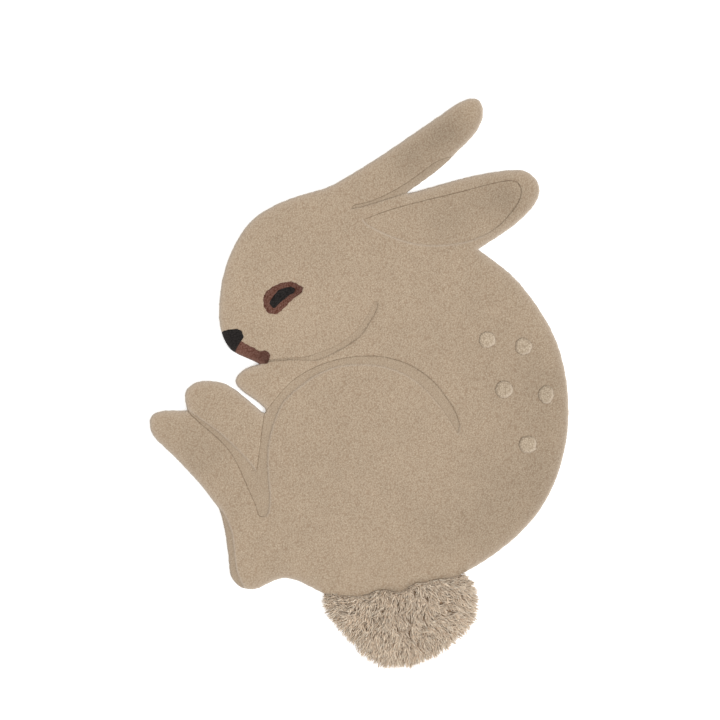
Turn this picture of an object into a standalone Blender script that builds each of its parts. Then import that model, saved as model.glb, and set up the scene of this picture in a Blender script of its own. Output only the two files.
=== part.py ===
"""Rabbit-shaped tufted rug for a child's room, lying flat on the floor.

Metres, +Z up. The rabbit looks towards -X with its ears towards +Y and its tail towards -Y, and the
origin is on the floor under the middle of the rug.

One slab of cut pile on a thin backing has the rabbit's outline. The lines of jaw, thigh, foot and heel
are carved lower in it, and so is the inside of the near ear. Eye, nose, mouth and back dots are areas
of other yarn that stand in pockets of the slab, down to the backing. The tail is a patch of long shag
over a tongue of the backing.
"""
import math
import random
from collections import namedtuple

import bmesh
import bpy
from mathutils import Matrix, Vector, noise
from mathutils.geometry import interpolate_bezier

MM = 0.001

# Heights over the floor
BACKING_TOP = 3 * MM
POCKET_FLOOR = 3.2 * MM
PILE_TOP = 14 * MM
CARVED_TOP = 10 * MM
EAR_INSIDE_TOP = 10.5 * MM
RIM_ROUND = 4.5 * MM
RIM_ROUND_STEPS = 3
# How far a cutter stands out past what it cuts
CLEAR = 6 * MM

# Space between neighbouring pieces
GAP = 0.3 * MM

# Round tufts on the back
DOT_RIM = 14 * MM
DOT_CROWN = 17 * MM
DOT_GROOVE = 1.3 * MM
DOT_SIDES = 28
DOT_CROWN_STEPS = 4

# Shag tail
TAIL_WALL_ROWS = 3
TAIL_ROW_HEIGHT = 8 * MM
TAIL_RIM_FACES = 46
TAIL_CROWN_RINGS = ((0.93, 2.5 * MM), (0.84, 2 * MM))
TAIL_CELL = 14 * MM
TAIL_REACH = 180 * MM
TAIL_CENTRE = Vector((82 * MM, -492 * MM, 0))
TAIL_LUMP_SIZE = 24 * MM
TAIL_LUMP_HEIGHT = 6 * MM
LOCK_LENGTHS = (11 * MM, 17 * MM)
LOCK_ROOT_MARGIN = 1.2 * MM
LOCK_TAPER = (0.85, 0.45)
LOCK_DROOPS = (2 * MM, 4.5 * MM)
LOCK_SWING = math.radians(9)
LOCK_SEED = 11
# Faces of the rim that look further towards +Y than this carry no lock: the cut pile is there
LOCK_MOST_NORTH = 0.5

# Edges that turn more than this stay sharp
SHARP_ANGLE = math.radians(40)

# Smooth outlines: how far one straight step may turn, and its longest and shortest length
STEP_TURN = math.radians(8)
STEP_LONGEST = 70 * MM
STEP_SHORTEST = 1.5 * MM

# A node of a smooth outline, in millimetres, with the heading of the outline there in degrees from +X.
# At a corner the outline arrives with the first heading and goes on with the second.
Node = namedtuple("Node", "x y heading leave", defaults=(None,))

# The free edge, from the tail's left end over feet, head, ears and back to the tail's right end
FREE_EDGE = (
    # belly and heel
    Node(-74, -437, 172, 157),
    Node(-157, -407, 180),
    Node(-226, -430, 178),
    Node(-271, -385, 96),
    Node(-293, -262, 108, 126),
    # far foot
    Node(-423, -122, 136),
    Node(-440, -80, 90),
    Node(-415, -56, 8),
    Node(-360, -55, 2, 110),
    # near foot
    Node(-366, -24, 88),
    Node(-322, 7.5, 0),
    Node(-268, -5, -33),
    Node(-240, -26.5, -39),
    Node(-216, -46.5, -40),
    Node(-203, -58.5, -35),
    Node(-196, -57, 80),
    # paw
    Node(-209, -40.5, 139),
    Node(-238, -19.5, 143),
    Node(-255, -5, 135),
    Node(-259, 5, 98),
    Node(-244, 29, 38),
    Node(-209, 43, 17, 150),
    # muzzle, brow and crown
    Node(-260, 67, 152),
    Node(-289, 112, 107),
    Node(-294, 160, 88),
    Node(-237, 331, 52),
    Node(-137, 393, 20),
    Node(-48, 421, 27),
    # far ear
    Node(190, 580, 34),
    Node(241, 601, -2),
    Node(260, 566, -97),
    Node(195, 481, -133),
    Node(101, 404, -144),
    # near ear
    Node(103, 401.5, 14),
    Node(326, 450, 3),
    Node(353, 444, -28),
    Node(378, 409, -88),
    Node(357, 366, -131),
    Node(250, 284, -146, -38),
    # back
    Node(321, 231, -44),
    Node(393, 130, -59),
    Node(440, -54, -91),
    Node(395, -239, -117),
    Node(224, -394, -151),
    Node(213, -399, -157),
)

# The edge of the cut pile that the tail adjoins, from right to left
TAIL_SEAM = (
    Node(213, -399, -157),
    Node(188, -408, -161),
    Node(75, -436, -174),
    Node(-46, -440, 177),
    Node(-74, -437, 172),
)

# The free rim of the backing under the tail, from its left end on the seam to its right end
TONGUE_EDGE = (
    Node(-46, -440, -80),
    Node(-38, -475, -58),
    Node(75, -572, 0),
    Node(192, -500, 68),
    Node(188, -408, 100),
)

# The free rim of the shag slab, without the locks, from the seam's left end to its right end
TAIL_EDGE = (
    Node(-74, -437, -80),
    Node(-58, -470, -57),
    Node(5, -551, -46),
    Node(75, -584, -2),
    Node(190, -530, 33),
    Node(232, -478, 86),
    Node(230, -424, 98),
    Node(213, -399, 142),
)

CarvedArea = namedtuple("CarvedArea", "name floor nodes")
CARVED_AREAS = (
    CarvedArea("jaw_line", CARVED_TOP, (
        Node(-199, 50, 95, 8),
        Node(-137, 57, 6),
        Node(-72, 73, 21),
        Node(-4, 115, 45),
        Node(34, 180, 62, -20),
        Node(41, 172, -100),
        Node(15, 118, -120),
        Node(-32, 71, -148),
        Node(-90, 52, -176),
        Node(-190, 48, 185),
    )),
    CarvedArea("thigh_and_foot_lines", CARVED_TOP, (
        Node(207, -102, -62, 70),
        Node(211, -86, 98),
        Node(174, -14, 127),
        Node(25, 60, 179),
        Node(-134, 12, 216),
        Node(-188, -46, 230),
        Node(-200, -68, -97),
        Node(-215, -184, -98, 126),
        Node(-281, -113, 137),
        Node(-364, -50, 140, -60),
        Node(-336, -79, -43),
        Node(-272, -140, -54),
        Node(-222, -242, -63),
        Node(-213, -270, -80),
        Node(-203, -278, -5),
        Node(-191, -268, 80),
        Node(-193, -160, 91),
        Node(-168, -54, 65),
        Node(-105, 5, 34),
        Node(25, 41, -2),
        Node(140, -9, -45),
    )),
    CarvedArea("heel_line", CARVED_TOP, (
        Node(-297, -256, 60, -50),
        Node(-281, -278, -65),
        Node(-264, -335, -84),
        Node(-257, -392, -75),
        Node(-240, -432, -62, 180),
        Node(-300, -400, 100),
    )),
    CarvedArea("far_ear_root", CARVED_TOP, (
        Node(-16, 369, 190, 80),
        Node(-6, 378, 8),
        Node(76, 409, 29),
        Node(150, 460, 38),
        Node(208, 482, 12, -130),
        Node(112, 407, -140, 195),
        Node(101, 402.5, 195),
    )),
    CarvedArea("near_ear_inside", EAR_INSIDE_TOP, (
        Node(9, 346, 120, 22),
        Node(66, 367, 17),
        Node(215, 405, 14),
        Node(320, 428, 2),
        Node(341, 408, -88),
        Node(310, 350, -130),
        Node(155, 293, 180),
        Node(32, 329, 152),
    )),
)

EYE_RING = (
    Node(-201, 176, 90),
    Node(-150, 216, 8),
    Node(-118, 203, -38, -95),
    Node(-125, 189, -150),
    Node(-171, 148, -140, 180),
    Node(-190, 149, 165, 130),
)
PUPIL = (
    Node(-189, 170, 140, 62),
    Node(-175, 193, 46),
    Node(-152, 204, 6),
    Node(-134, 200, -70),
    Node(-152, 184, -143),
    Node(-177, 162, -152),
)
# Nose and mouth reach out past the rug's edge, which cuts them off, and share the pocket of the muzzle
NOSE_TOP = (
    Node(-300, 104, 90, 30),
    Node(-262, 117, 0),
    Node(-243, 104, -88),
)
MOUTH_RIM = (
    Node(-207, 70, -25, 30),
    Node(-187, 61, -75),
    Node(-192, 45, -105, 190),
    Node(-214, 40.5, 192, 168),
)
NOSE = NOSE_TOP + (Node(-247, 91, -140), Node(-261, 66, -110, -150), Node(-280, 50, 180, 120))
MOUTH = MOUTH_RIM + (Node(-272, 54, 160, 50), Node(-261, 66, 48, 70), Node(-247, 91, 40, -32))
MUZZLE = NOSE_TOP + (Node(-247, 91, -140, -32),) + MOUTH_RIM + (Node(-285, 56, 160, 110),)

Dot = namedtuple("Dot", "x y half_width half_length")
DOTS = (
    Dot(269, 94, 17.3, 17.3),
    Dot(345.5, 80, 18, 17.6),
    Dot(304.5, -10.5, 18, 18),
    Dot(393, -21, 16.4, 18.5),
    Dot(354.5, -126, 18.7, 18.3),
)

Yarn = namedtuple("Yarn", "colour roughness")
BEIGE = Yarn((0.44, 0.34, 0.25), 0.95)
PALE_BEIGE = Yarn((0.51, 0.41, 0.31), 0.95)
SHAG_BEIGE = Yarn((0.47, 0.38, 0.28), 0.9)
BROWN = Yarn((0.15, 0.07, 0.05), 0.95)
BLACK = Yarn((0.025, 0.022, 0.02), 0.95)


def clear_scene():
    """Remove every object that the file opened with."""
    for thing in list(bpy.data.objects):
        bpy.data.objects.remove(thing)


def new_collection(name):
    collection = bpy.data.collections.new(name)
    bpy.context.scene.collection.children.link(collection)
    return collection


def new_object(name, mesh, collection):
    made = bpy.data.objects.new(name, mesh)
    collection.objects.link(made)
    return made


def mesh_from(bm, name):
    """Mesh of a closed body, with its faces turned outwards."""
    bmesh.ops.recalc_face_normals(bm, faces=bm.faces)
    mesh = bpy.data.meshes.new(name)
    bm.to_mesh(mesh)
    bm.free()
    mesh.shade_smooth()
    mesh.set_sharp_from_angle(angle=SHARP_ANGLE)
    return mesh


def finish(piece, yarn):
    """Give a piece its own material, of one yarn."""
    material = bpy.data.materials.new(piece.name)
    material.use_nodes = True
    shader = material.node_tree.nodes["Principled BSDF"]
    shader.inputs["Base Color"].default_value = (*yarn.colour, 1)
    shader.inputs["Roughness"].default_value = yarn.roughness
    shader.inputs["Metallic"].default_value = 0
    piece.data.materials.clear()
    piece.data.materials.append(material)


def hide_tool(tool):
    """Keep a cutter or guide out of the finished object."""
    tool.hide_render = True
    tool.display_type = "WIRE"


def boolean(piece, tool, operation):
    modifier = piece.modifiers.new(f"{operation.lower()} {tool.name}", "BOOLEAN")
    modifier.operation = operation
    modifier.solver = "EXACT"
    modifier.object = tool


def direction(angle):
    return Vector((math.cos(angle), math.sin(angle), 0))


def half_turn_wrap(angle):
    """The same angle between minus and plus half a turn."""
    return (angle + math.pi) % (2 * math.pi) - math.pi


def handle_share(near, far):
    """Length of a smooth curve's handle as a share of its chord.

    The angles are those between the curve and its chord, at the handle's end and at the other end.
    """
    bow = math.sqrt(2) * (math.sin(near) - math.sin(far) / 16) * (math.sin(far) - math.sin(near) / 16)
    bow *= math.cos(near) - math.cos(far)
    spread = 1 + (math.sqrt(5) - 1) / 2 * math.cos(near) + (3 - math.sqrt(5)) / 2 * math.cos(far)
    return (2 + bow) / (3 * spread)


def span(start, end):
    """Points of the smooth curve between two nodes, both ends included."""
    first = Vector((start.x, start.y, 0)) * MM
    last = Vector((end.x, end.y, 0)) * MM
    chord = last - first
    along = math.atan2(chord.y, chord.x)
    leave = math.radians(start.heading if start.leave is None else start.leave)
    arrive = math.radians(end.heading)
    near = half_turn_wrap(leave - along)
    far = half_turn_wrap(along - arrive)
    first_handle = first + direction(leave) * chord.length * handle_share(near, far)
    last_handle = last - direction(arrive) * chord.length * handle_share(far, near)
    steps = max(math.ceil((abs(near) + abs(far)) / STEP_TURN), math.ceil(chord.length / STEP_LONGEST))
    steps = max(1, min(steps, int(chord.length / STEP_SHORTEST)))
    return interpolate_bezier(first, first_handle, last_handle, last, steps + 1)


def open_path(nodes):
    """Points of a smooth open path through its nodes."""
    points = [Vector((nodes[0].x, nodes[0].y, 0)) * MM]
    for start, end in zip(nodes, nodes[1:]):
        points += span(start, end)[1:]
    return points


def closed_path(nodes):
    """Points of a smooth closed outline through its nodes, the first one not repeated."""
    return open_path(nodes + nodes[:1])[:-1]


def even_steps(points, count):
    """An open path again, in a number of steps of one length."""
    reached = [0]
    for a, b in zip(points, points[1:]):
        reached.append(reached[-1] + (b - a).length)
    even = []
    piece = 0
    for step in range(count + 1):
        wanted = reached[-1] * step / count
        while piece < len(points) - 2 and reached[piece + 1] < wanted:
            piece += 1
        share = (wanted - reached[piece]) / (reached[piece + 1] - reached[piece])
        even.append(points[piece].lerp(points[piece + 1], share))
    return even


def offset(points, distance, closed=True):
    """An outline moved sideways, to the right of its direction, with its steps kept parallel."""
    count = len(points)
    moved = []
    for i, point in enumerate(points):
        before = points[i - 1] if closed or i else None
        after = points[(i + 1) % count] if closed or i < count - 1 else None
        sides = [(point - before).normalized()] if before else []
        sides += [(after - point).normalized()] if after else []
        normals = [Vector((side.y, -side.x, 0)) for side in sides]
        middle = sum(normals, Vector()).normalized()
        moved.append(point + middle * distance / middle.dot(normals[0]))
    return moved


def shrunk(points, distance):
    """A closed outline drawn in by a distance, whichever way round it runs."""
    area = sum(a.x * b.y - b.x * a.y for a, b in zip(points, points[1:] + points[:1]))
    return offset(points, distance if area < 0 else -distance)


def oval(x, y, half_width, half_length, sides):
    """Points of an upright ellipse."""
    places = []
    for side in range(sides):
        turn = 2 * math.pi * side / sides
        places.append(Vector((x + half_width * math.cos(turn), y + half_length * math.sin(turn), 0)))
    return places


def nearest(points, place):
    """Index of the point that lies nearest to a place."""
    return min(range(len(points)), key=lambda i: (points[i] - place).length)


def prism(name, points, low, high, collection):
    """Closed upright prism on an outline: a filled 2D curve, made a mesh and welded."""
    curve = bpy.data.curves.new(name, "CURVE")
    curve.dimensions = "2D"
    curve.fill_mode = "BOTH"
    curve.extrude = (high - low) / 2
    spline = curve.splines.new("POLY")
    spline.points.add(len(points) - 1)
    for knot, point in zip(spline.points, points):
        knot.co = (point.x, point.y, 0, 1)
    spline.use_cyclic_u = True
    drawn = new_object(name + "_curve", curve, collection)
    graph = bpy.context.evaluated_depsgraph_get()
    bm = bmesh.new()
    bm.from_mesh(drawn.evaluated_get(graph).to_mesh())
    bmesh.ops.remove_doubles(bm, verts=bm.verts, dist=GAP / 10)
    bmesh.ops.translate(bm, verts=bm.verts, vec=(0, 0, (low + high) / 2))
    bpy.data.objects.remove(drawn)
    return new_object(name, mesh_from(bm, name), collection)


def cutter(name, points, low, high, collection):
    tool = prism(name, points, low, high, collection)
    hide_tool(tool)
    return tool


def extruded(bm, faces, shift, keep=False):
    """Extrude faces along a vector and return the moved ones; the old ones stay only as an underside."""
    made = bmesh.ops.extrude_face_region(bm, geom=faces)["geom"]
    if not keep:
        bmesh.ops.delete(bm, geom=faces, context="FACES_ONLY")
    moved = [item for item in made if isinstance(item, bmesh.types.BMVert)]
    bmesh.ops.translate(bm, verts=moved, vec=shift)
    return [item for item in made if isinstance(item, bmesh.types.BMFace)]


def tongue_paths():
    """Seam of the tail, the steps of it where the tongue starts and ends, and the tongue's free rim."""
    seam = open_path(TAIL_SEAM)
    tongue = open_path(TONGUE_EDGE)
    return seam, nearest(seam, tongue[-1]), nearest(seam, tongue[0]), tongue[1:-1]


def field_mesh():
    """Backing with its tongue, and the pile on it with its top rim rounded."""
    free_edge = open_path(FREE_EDGE)
    seam, start, end, tongue = tongue_paths()
    bm = bmesh.new()
    outline = [bm.verts.new(point) for point in free_edge[:-1] + seam[:-1]]
    seam_corners = outline[len(free_edge) - 1:] + outline[:1]
    rabbit = bm.faces.new(outline)
    flap = bm.faces.new(seam_corners[start:end + 1] + [bm.verts.new(point) for point in tongue])
    backing_area = rabbit.calc_area()
    tops = extruded(bm, [rabbit, flap], (0, 0, BACKING_TOP), keep=True)
    pile_root = min(tops, key=lambda face: abs(face.calc_area() - backing_area))
    pile_top = extruded(bm, [pile_root], (0, 0, PILE_TOP - BACKING_TOP))[0]
    bmesh.ops.bevel(bm, geom=list(pile_top.edges), offset=RIM_ROUND, segments=RIM_ROUND_STEPS,
                    profile=0.5, affect="EDGES", clamp_overlap=False)
    return mesh_from(bm, "rug_field")


def make_field(part, tools):
    """The rug's main piece with its carved areas, and the uncarved blank that the face areas need."""
    blank = new_object("pile_blank", field_mesh(), tools)
    hide_tool(blank)
    field = new_object("rug_field", blank.data.copy(), part)
    for area in CARVED_AREAS:
        tool = cutter(area.name, closed_path(area.nodes), area.floor, PILE_TOP + CLEAR, tools)
        boolean(field, tool, "DIFFERENCE")
    finish(field, BEIGE)
    return field, blank


def pocket(field, name, points, tools):
    """Take the pile out of an area of the field, down to the backing."""
    tool = cutter(name + "_pocket", points, POCKET_FLOOR, PILE_TOP + CLEAR, tools)
    boolean(field, tool, "DIFFERENCE")


def make_eye(field, part, tools):
    ring_outline = closed_path(EYE_RING)
    pupil_outline = closed_path(PUPIL)
    pocket(field, "eye", ring_outline, tools)
    ring = prism("eye_ring", shrunk(ring_outline, GAP), POCKET_FLOOR + GAP, PILE_TOP, part)
    hole = cutter("pupil_hole", pupil_outline, BACKING_TOP - CLEAR, PILE_TOP + CLEAR, tools)
    boolean(ring, hole, "DIFFERENCE")
    finish(ring, BROWN)
    pupil = prism("pupil", shrunk(pupil_outline, GAP), POCKET_FLOOR + GAP, PILE_TOP, part)
    finish(pupil, BLACK)


def make_edge_area(name, nodes, yarn, blank, part):
    """An area of other yarn that forms part of the rug's edge and shares its rounded rim."""
    area = prism(name, shrunk(closed_path(nodes), GAP), POCKET_FLOOR + GAP, PILE_TOP + CLEAR, part)
    boolean(area, blank, "INTERSECT")
    finish(area, yarn)


def make_dot(name, dot, field, part, tools):
    """A round tuft with a domed top: a turned profile, in a groove that rings it."""
    leans = [math.pi / 2 * step / DOT_CROWN_STEPS for step in range(DOT_CROWN_STEPS + 1)]
    profile = [(math.sin(lean), DOT_RIM + (DOT_CROWN - DOT_RIM) * math.cos(lean)) for lean in leans]
    profile += [(1, POCKET_FLOOR + GAP), (0, POCKET_FLOOR + GAP)]
    bm = bmesh.new()
    corners = [bm.verts.new((radius, 0, height)) for radius, height in profile]
    for a, b in zip(corners, corners[1:]):
        bm.edges.new((a, b))
    mesh = bpy.data.meshes.new(name)
    bm.to_mesh(mesh)
    bm.free()
    x, y, half_width, half_length = (size * MM for size in dot)
    tuft = new_object(name, mesh, part)
    tuft.location = (x, y, 0)
    tuft.scale = (half_width, half_length, 1)
    turn = tuft.modifiers.new("turned", "SCREW")
    turn.axis = "Z"
    turn.steps = DOT_SIDES
    turn.render_steps = DOT_SIDES
    turn.use_smooth_shade = True
    turn.use_merge_vertices = True
    turn.merge_threshold = 0.0001
    finish(tuft, PALE_BEIGE)
    groove = oval(x, y, half_width + DOT_GROOVE, half_length + DOT_GROOVE, DOT_SIDES)
    pocket(field, name, groove, tools)


def tail_blank():
    """Lumpy slab of shag with its rim in rows of faces, and the faces that a lock grows from."""
    seam = offset(open_path(TAIL_SEAM), -GAP, closed=False)
    rim = even_steps([seam[-1]] + open_path(TAIL_EDGE)[1:-1] + [seam[0]], TAIL_RIM_FACES)
    bm = bmesh.new()
    cap = bm.faces.new([bm.verts.new(point) for point in seam[:-1] + rim[:-1]])
    roots = []
    for row in range(TAIL_WALL_ROWS):
        cap = extruded(bm, [cap], (0, 0, TAIL_ROW_HEIGHT), keep=row == 0)[0]
        for edge in cap.edges:
            wall = next(face for face in edge.link_faces if face is not cap)
            outward = (wall.calc_center_median() - TAIL_CENTRE).dot(edge_normal(edge))
            roots.append((row, wall, edge_normal(edge) * math.copysign(1, outward)))
    reach = 1
    for share, rise in TAIL_CROWN_RINGS:
        cap = extruded(bm, [cap], (0, 0, rise))[0]
        bmesh.ops.scale(bm, verts=cap.verts, vec=(share / reach, share / reach, 1),
                        space=Matrix.Translation(-TAIL_CENTRE))
        reach = share
    divide(bm, cap, TAIL_CENTRE, TAIL_REACH, TAIL_CELL)
    wall_top = TAIL_WALL_ROWS * TAIL_ROW_HEIGHT
    for corner in bm.verts:
        if corner.co.z > wall_top + GAP:
            corner.co.z += TAIL_LUMP_HEIGHT * noise.noise(corner.co / TAIL_LUMP_SIZE)
    free = [(row, wall, out) for row, wall, out in roots if out.y < LOCK_MOST_NORTH]
    return bm, free


def divide(bm, face, centre, reach, cell):
    """Cut a level face into square cells."""
    faces = [face]
    for side in (Vector((1, 0, 0)), Vector((0, 1, 0))):
        steps = round(reach / cell)
        for step in range(-steps, steps + 1):
            edges = {edge for tile in faces for edge in tile.edges}
            corners = {corner for tile in faces for corner in tile.verts}
            made = bmesh.ops.bisect_plane(bm, geom=faces + list(edges) + list(corners), dist=GAP / 10,
                                          plane_co=centre + side * (step + 0.5) * cell, plane_no=side)
            faces = [item for item in made["geom"] if isinstance(item, bmesh.types.BMFace)]


def edge_normal(edge):
    """Level direction square to a level edge."""
    along = (edge.verts[1].co - edge.verts[0].co).normalized()
    return Vector((along.y, -along.x, 0))


def grow_lock(bm, row, wall, out, rng):
    """A tapered four-sided lock out of one face of the rim, drooping to rest level on the floor."""
    bmesh.ops.inset_individual(bm, faces=[wall], thickness=LOCK_ROOT_MARGIN)
    length = rng.uniform(*LOCK_LENGTHS)
    swing = Matrix.Rotation(rng.uniform(-LOCK_SWING, LOCK_SWING), 3, "Z")
    droop = rng.uniform(*LOCK_DROOPS)
    tip = wall
    for stage, taper in enumerate(LOCK_TAPER, 1):
        tip = extruded(bm, [tip], swing @ out * length / len(LOCK_TAPER))[0]
        bmesh.ops.scale(bm, verts=tip.verts, vec=(taper, taper, taper),
                        space=Matrix.Translation(-tip.calc_center_median()))
        to_floor = min(corner.co.z for corner in tip.verts)
        fall = to_floor if row == 0 else droop * stage / len(LOCK_TAPER)
        bmesh.ops.translate(bm, verts=tip.verts, vec=(0, 0, -fall))


def make_tail(part, tools):
    rng = random.Random(LOCK_SEED)
    bm, roots = tail_blank()
    for row, wall, out in roots:
        grow_lock(bm, row, wall, out, rng)
    bmesh.ops.triangulate(bm, faces=bm.faces)
    tail = new_object("tail", mesh_from(bm, "tail"), part)
    seam, start, end, tongue = tongue_paths()
    lap = cutter("tongue_lap", shrunk(seam[start:end + 1] + tongue, -GAP), -CLEAR, BACKING_TOP + GAP, tools)
    boolean(tail, lap, "DIFFERENCE")
    finish(tail, SHAG_BEIGE)


def main():
    clear_scene()
    part = new_collection("rabbit_rug")
    tools = new_collection("cutters")
    field, blank = make_field(part, tools)
    make_eye(field, part, tools)
    pocket(field, "muzzle", closed_path(MUZZLE), tools)
    make_edge_area("nose", NOSE, BLACK, blank, part)
    make_edge_area("mouth", MOUTH, BROWN, blank, part)
    for number, dot in enumerate(DOTS, 1):
        make_dot(f"dot_{number}", dot, field, part, tools)
    make_tail(part, tools)


main()
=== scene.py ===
"""Looks of a rabbit-shaped tufted rug for a child's room, lying flat and seen from straight above.

Metres, +Z up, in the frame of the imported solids. A thin woven backing carries one carpet of cut pile,
worked out as a fine net of triangles with the carved lines, the face areas and the back dots in it.
The tail is a mound of long shag locks. Short tufts stand out along the rim of the pile.
"""

import logging
import math
from dataclasses import dataclass
from enum import Enum

import bpy
import numpy as np
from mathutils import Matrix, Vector
from mathutils.geometry import delaunay_2d_cdt


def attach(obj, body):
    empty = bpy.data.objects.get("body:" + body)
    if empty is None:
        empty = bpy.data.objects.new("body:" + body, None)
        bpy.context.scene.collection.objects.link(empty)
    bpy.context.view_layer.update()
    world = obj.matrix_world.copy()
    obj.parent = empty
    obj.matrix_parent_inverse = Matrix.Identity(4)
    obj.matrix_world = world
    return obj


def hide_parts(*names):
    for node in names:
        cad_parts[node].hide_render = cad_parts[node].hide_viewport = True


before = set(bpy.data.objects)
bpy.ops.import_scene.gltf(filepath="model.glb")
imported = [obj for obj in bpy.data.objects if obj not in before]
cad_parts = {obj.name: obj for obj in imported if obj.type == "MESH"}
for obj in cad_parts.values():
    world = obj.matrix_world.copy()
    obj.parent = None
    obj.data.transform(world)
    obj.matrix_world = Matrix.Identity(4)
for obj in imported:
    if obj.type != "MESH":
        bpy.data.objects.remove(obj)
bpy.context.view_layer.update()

LOG = logging.getLogger("rabbit_rug")
BODY = "root"
MM = 0.001
Array = np.ndarray

# Heights over the floor
BACKING_TOP = 3 * MM
SILL = 3.1 * MM
PILE_TOP = 14 * MM
# The tufts lean in over a carved line, so that its floor looks higher than the shears went
CARVED_TOP = 11.4 * MM
EAR_INSIDE_TOP = 12 * MM

# Smooth outlines are drawn in steps of about this length
OUTLINE_STEP = 3.5 * MM

# Filling an outline: keep what is inside it, and take points closer than this in metres for one
INSIDE_ONLY = 2
SAME_PLACE = 1e-9


@dataclass(frozen=True)
class Node:
    """A point of a smooth outline, in millimetres, with the heading of the outline there in degrees.

    At a corner the outline arrives with the first heading and goes on with the second.
    """

    x: float
    y: float
    heading: float
    leave: float | None = None


# The free edge, from the tail's left end over feet, head, ears and back to the tail's right end
FREE_EDGE = (
    # belly and heel
    Node(-74, -439, 172, 157), Node(-157, -407, 180), Node(-228, -430.5, 180), Node(-272, -389, 95),
    Node(-293.5, -262, 108, 125),
    # far foot
    Node(-421, -120.5, 138), Node(-440, -80, 90), Node(-415, -56, 8), Node(-360, -55, 2, 110),
    # near foot
    Node(-366, -24, 88), Node(-322, 7.5, 0), Node(-268.4, -5.6, -33), Node(-240.5, -27, -39),
    Node(-216.4, -47, -40), Node(-203, -58.5, -35), Node(-196, -57, 80),
    # paw
    Node(-208.6, -40, 139), Node(-237.5, -19, 143), Node(-254.5, -4.5, 135), Node(-259, 5, 98),
    Node(-244, 29, 38), Node(-209, 43, 17, 150),
    # muzzle, brow and crown
    Node(-260, 67, 152), Node(-289, 112, 107), Node(-294, 160, 88), Node(-237, 331, 52),
    Node(-137, 393, 20), Node(-49, 422.5, 29),
    # far ear
    Node(189.5, 578.5, 34), Node(241, 601, -2), Node(260, 566, -97), Node(196.5, 479.5, -133),
    Node(101, 404, -144),
    # near ear
    Node(103, 401.5, 14), Node(326, 450.5, 2), Node(355, 446, -30), Node(379, 409, -88),
    Node(358, 365, -131), Node(250, 284, -146, -38),
    # back
    Node(320, 230, -44), Node(395, 131, -60), Node(440, -54, -90), Node(395, -239, -119),
    Node(224, -394, -151),
)

# The wavy edge of the cut pile over the tail, from right to left
TAIL_SEAM = (
    Node(224, -394, -151, 203), Node(204, -403, 198), Node(178, -408.5, 184), Node(153, -412, 198),
    Node(116, -421, 197), Node(78, -436, 181), Node(52, -432, 180), Node(27, -438, 202),
    Node(2, -445, 184), Node(-34, -444, 176), Node(-74, -439, 172),
)

# The free rim of the backing under the tail, from its right end to its left end
TONGUE_EDGE = (
    Node(188, -408, -161, -80), Node(192, -500, -112), Node(75, -572, 180), Node(-38, -475, 122),
    Node(-46, -440, 100, 172),
)

# The outer reach of the shag, from the seam's left end to its right end
TAIL_EDGE = (
    Node(-74, -439, -110), Node(-80, -458, -80), Node(-49, -511, -50), Node(-14, -549, -45),
    Node(26, -585, -30), Node(74, -599, 0), Node(133, -587, 24), Node(181, -562, 36),
    Node(217, -531, 45), Node(243, -505, 62), Node(250, -484, 88), Node(251, -441, 95),
    Node(242, -415, 122), Node(218, -403, 172),
)


@dataclass(frozen=True)
class CarvedArea:
    """A stretch of the pile that is shorn lower than the rest, down to a height over the floor.

    Its floor gets painted shade and is smoothed by shares. The fine painted shade line at its edge has a
    strength, and is darkest on the walls that face a direction, the usual one of the place unless one is
    given.
    """

    name: str
    floor: float
    nodes: tuple[Node, ...]
    shade: float = 0.05
    smooth: float = 0.3
    line: float = 1.0
    toward: tuple[float, float] | None = None


CARVED_AREAS = (
    CarvedArea("jaw_line", CARVED_TOP, (
        Node(-199, 50, 95, 8), Node(-137, 56, 0), Node(-95, 63, 20), Node(-62, 75.5, 21),
        Node(-4, 115, 45), Node(33, 175, 62, -20), Node(40, 169, -100), Node(15, 118, -120),
        Node(-32, 77, -148), Node(-66, 60, -158), Node(-95, 50.5, 179), Node(-134, 52, 180),
        Node(-190, 48, 185),
    ), line=0.9, toward=(0, 0)),
    CarvedArea("thigh_and_foot_lines", CARVED_TOP, (
        Node(207, -102, -62, 70), Node(211, -86, 98), Node(174, -14, 127), Node(25, 60, 179),
        Node(-134, 12, 216), Node(-188, -46, 230), Node(-200, -68, -97), Node(-215, -184, -98, 126),
        Node(-281, -113, 137), Node(-364, -50, 140, -60), Node(-336, -79, -43), Node(-272, -140, -54),
        Node(-222, -242, -63), Node(-213, -270, -80), Node(-203, -278, -5), Node(-191, -268, 80),
        Node(-188, -241, 92), Node(-193, -160, 91), Node(-168, -51, 65), Node(-105, 11, 37),
        Node(-65, 32, 22), Node(25, 42, -4), Node(140, -10, -45),
    )),
    CarvedArea("heel_line", CARVED_TOP, (
        Node(-297, -256, 60, -50), Node(-281, -278, -65), Node(-264, -335, -84), Node(-257, -392, -75),
        Node(-240, -432, -62, 180), Node(-300, -400, 100),
    ), shade=0.13),
    CarvedArea("far_ear_root", CARVED_TOP, (
        Node(-16, 369, 190, 80), Node(-6, 378, 8), Node(76, 409, 29), Node(150, 460, 38),
        Node(208, 482, 12, -130), Node(112, 407, -140, 195), Node(101, 402.5, 195),
    ), line=1.3, toward=(0, -0.25)),
    CarvedArea("near_ear_inside", EAR_INSIDE_TOP, (
        Node(9, 346, 120, 22), Node(66, 367, 17), Node(215, 405, 14), Node(320, 428, 2),
        Node(341, 408, -88), Node(310, 350, -130), Node(155, 293, 180), Node(32, 329, 152),
    ), 0, 0, line=1.15, toward=(-2.0, -1.5)),
)

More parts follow.
